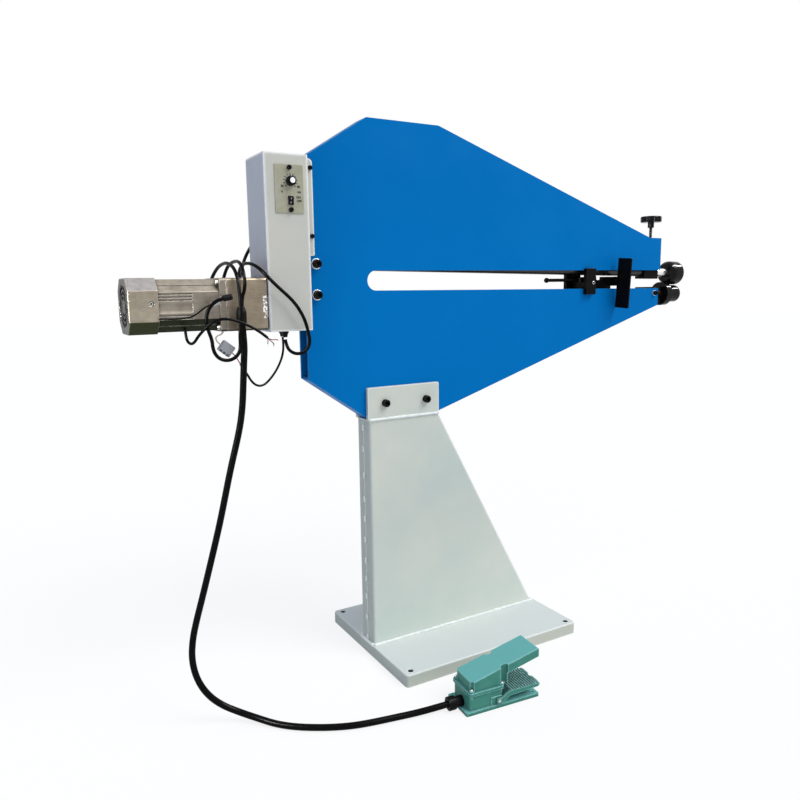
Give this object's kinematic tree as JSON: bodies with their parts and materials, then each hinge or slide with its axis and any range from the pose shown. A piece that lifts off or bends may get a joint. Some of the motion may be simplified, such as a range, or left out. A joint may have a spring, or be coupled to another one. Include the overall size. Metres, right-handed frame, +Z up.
{
  "type": "electric bead roller",
  "caption": "Floor standing deep throat bead roller: tapered pedestal, long boxed frame, geared roll shafts, gear motor, speed controller, sliding gauge and foot switch.",
  "frame": {"origin": "centre of the base plate underside, on the floor", "axes": "+X along the throat towards the rolls, +Y away from the operator side shown, +Z up"},
  "size_m": [1.6292, 0.5838, 1.295],
  "materials": {
    "pale_paint": "pale grey-green paint over sheet steel",
    "blue_paint": "glossy blue paint",
    "black_screws": "black oxide",
    "machined_steel": "turned and ground steel",
    "gear_steel": "cut gear steel with oil",
    "roll_steel": "polished hardened steel, black oxide",
    "grey_paint": "pale grey powder coat",
    "black_plastic": "matte black plastic",
    "cast_aluminium": "satin champagne aluminium",
    "black_wire": "black coated wire",
    "bright_screws": "bright zinc",
    "black_steel": "milled steel, black oxide",
    "panel_plastic": "beige-grey front plate",
    "teal_paint": "teal paint on castings",
    "cable_rubber": "black cable sheath",
    "grey_plastic": "grey plastic"
  },
  "bodies": {
    "machine": {"base_plate": "pale_paint", "box_screws": "black_screws", "cable_boots": "black_plastic", "cable_glands": "black_plastic", "connector_block": "grey_plastic", "control_box": "grey_paint", "control_cable": "cable_rubber", "controller_housing": "black_plastic", "controller_panel": "panel_plastic", "foot_cable": "cable_rubber", "foot_fasteners": "bright_screws", "foot_hood": "teal_paint", "foot_housing": "teal_paint", "frame_back_plate": "blue_paint", "frame_bolts": "black_screws", "frame_bottom_strip": "blue_paint", "frame_front_plate": "blue_paint", "frame_top_strip": "blue_paint", "front_lower_bearing": "black_steel", "gearbox": "cast_aluminium", "hanging_lead": "cable_rubber", "motor_body": "cast_aluminium", "motor_cable": "cable_rubber", "motor_flange": "cast_aluminium", "motor_mount_plate": "machined_steel", "motor_rear_cap": "cast_aluminium", "motor_screws": "bright_screws", "motor_wires": "cable_rubber", "nose_block": "blue_paint", "rear_grille": "black_wire", "rear_lower_bearing": "machined_steel", "saddle_plates": "pale_paint", "spare_lead": "cable_rubber", "stand_back_shell": "pale_paint", "stand_front_shell": "pale_paint"},
    "lower_set": {"lower_shaft": "machined_steel", "output_shaft": "machined_steel", "shaft_coupling": "machined_steel", "lower_gear": "gear_steel", "lower_roll": "roll_steel", "lower_nut": "roll_steel"},
    "tilt_carrier": {"upper_rear_bearing": "machined_steel", "upper_front_bearing": "black_steel"},
    "upper_set": {"upper_shaft": "machined_steel", "upper_gear": "gear_steel", "upper_roll": "roll_steel", "upper_nut": "roll_steel"},
    "pad": {"pressure_pad": "machined_steel"},
    "knob": {"tension_screw": "machined_steel", "tension_knob": "black_plastic"},
    "gauge": {"gauge_front_cheek": "black_steel", "gauge_back_cheek": "black_steel", "gauge_block": "black_steel", "gauge_arm": "black_steel", "guide_plate": "black_steel"},
    "lever": {"clamp_lever": "black_steel"},
    "dial": {"speed_knob": "black_plastic"},
    "rocker": {"rocker_switch": "black_plastic"},
    "fan": {"cooling_fan": "black_plastic"},
    "treadle": {"foot_treadle": "teal_paint"}
  },
  "joints": [
    {"name": "lower_spin", "type": "hinge", "parent": "machine", "child": "lower_set", "pos_m": [0, 0, 0.885], "axis": [1, 0, 0], "continuous": true},
    {"name": "knob_turn", "type": "hinge", "parent": "pad", "child": "knob", "pos_m": [0.7197, 0, 1.05], "axis": [0, 0, 1], "range_deg": [0, 1440]},
    {"name": "pressure_slide", "type": "slide", "parent": "machine", "child": "pad", "axis": [0, 0, 1], "range_m": [0, 0.0121]},
    {"name": "upper_tilt", "type": "hinge", "parent": "machine", "child": "tilt_carrier", "pos_m": [-0.378, 0, 0.9697], "axis": [0, -1, 0], "range_deg": [0, 0.626]},
    {"name": "upper_spin", "type": "hinge", "parent": "tilt_carrier", "child": "upper_set", "pos_m": [-0.378, 0, 0.9697], "axis": [0.9998, 0, -0.0188], "continuous": true},
    {"name": "gauge_slide", "type": "slide", "parent": "machine", "child": "gauge", "axis": [1, 0, 0], "range_m": [-0.52, 0.09]},
    {"name": "lever_swing", "type": "hinge", "parent": "gauge", "child": "lever", "pos_m": [0.442, 0, 0.9285], "axis": [0, 0, 1], "range_deg": [0, 45]},
    {"name": "dial_turn", "type": "hinge", "parent": "machine", "child": "dial", "pos_m": [-0.4465, -0.062, 1.1394], "axis": [0, -1, 0], "range_deg": [-135, 135]},
    {"name": "rocker_tip", "type": "hinge", "parent": "machine", "child": "rocker", "pos_m": [-0.447, -0.0565, 1.0995], "axis": [-1, 0, 0], "range_deg": [0, 20]},
    {"name": "fan_spin", "type": "hinge", "parent": "machine", "child": "fan", "pos_m": [-0.75, 0, 0.885], "axis": [1, 0, 0], "continuous": true},
    {"name": "treadle_press", "type": "hinge", "parent": "machine", "child": "treadle", "pos_m": [-0.12451, -0.33829, 0.018], "axis": [0.092, 0.9958, 0], "range_deg": [0, 8], "stiffness_Nm_per_rad": 6, "springref_deg": -6.88}
  ],
  "couplings": [
    {"joint": "upper_spin", "follows": "lower_spin", "ratio": -1},
    {"joint": "fan_spin", "follows": "lower_spin", "ratio": 30},
    {"joint": "pressure_slide", "follows": "upper_tilt", "m_per_rad": 1.0977},
    {"joint": "knob_turn", "follows": "upper_tilt", "ratio": 2299}
  ]
}
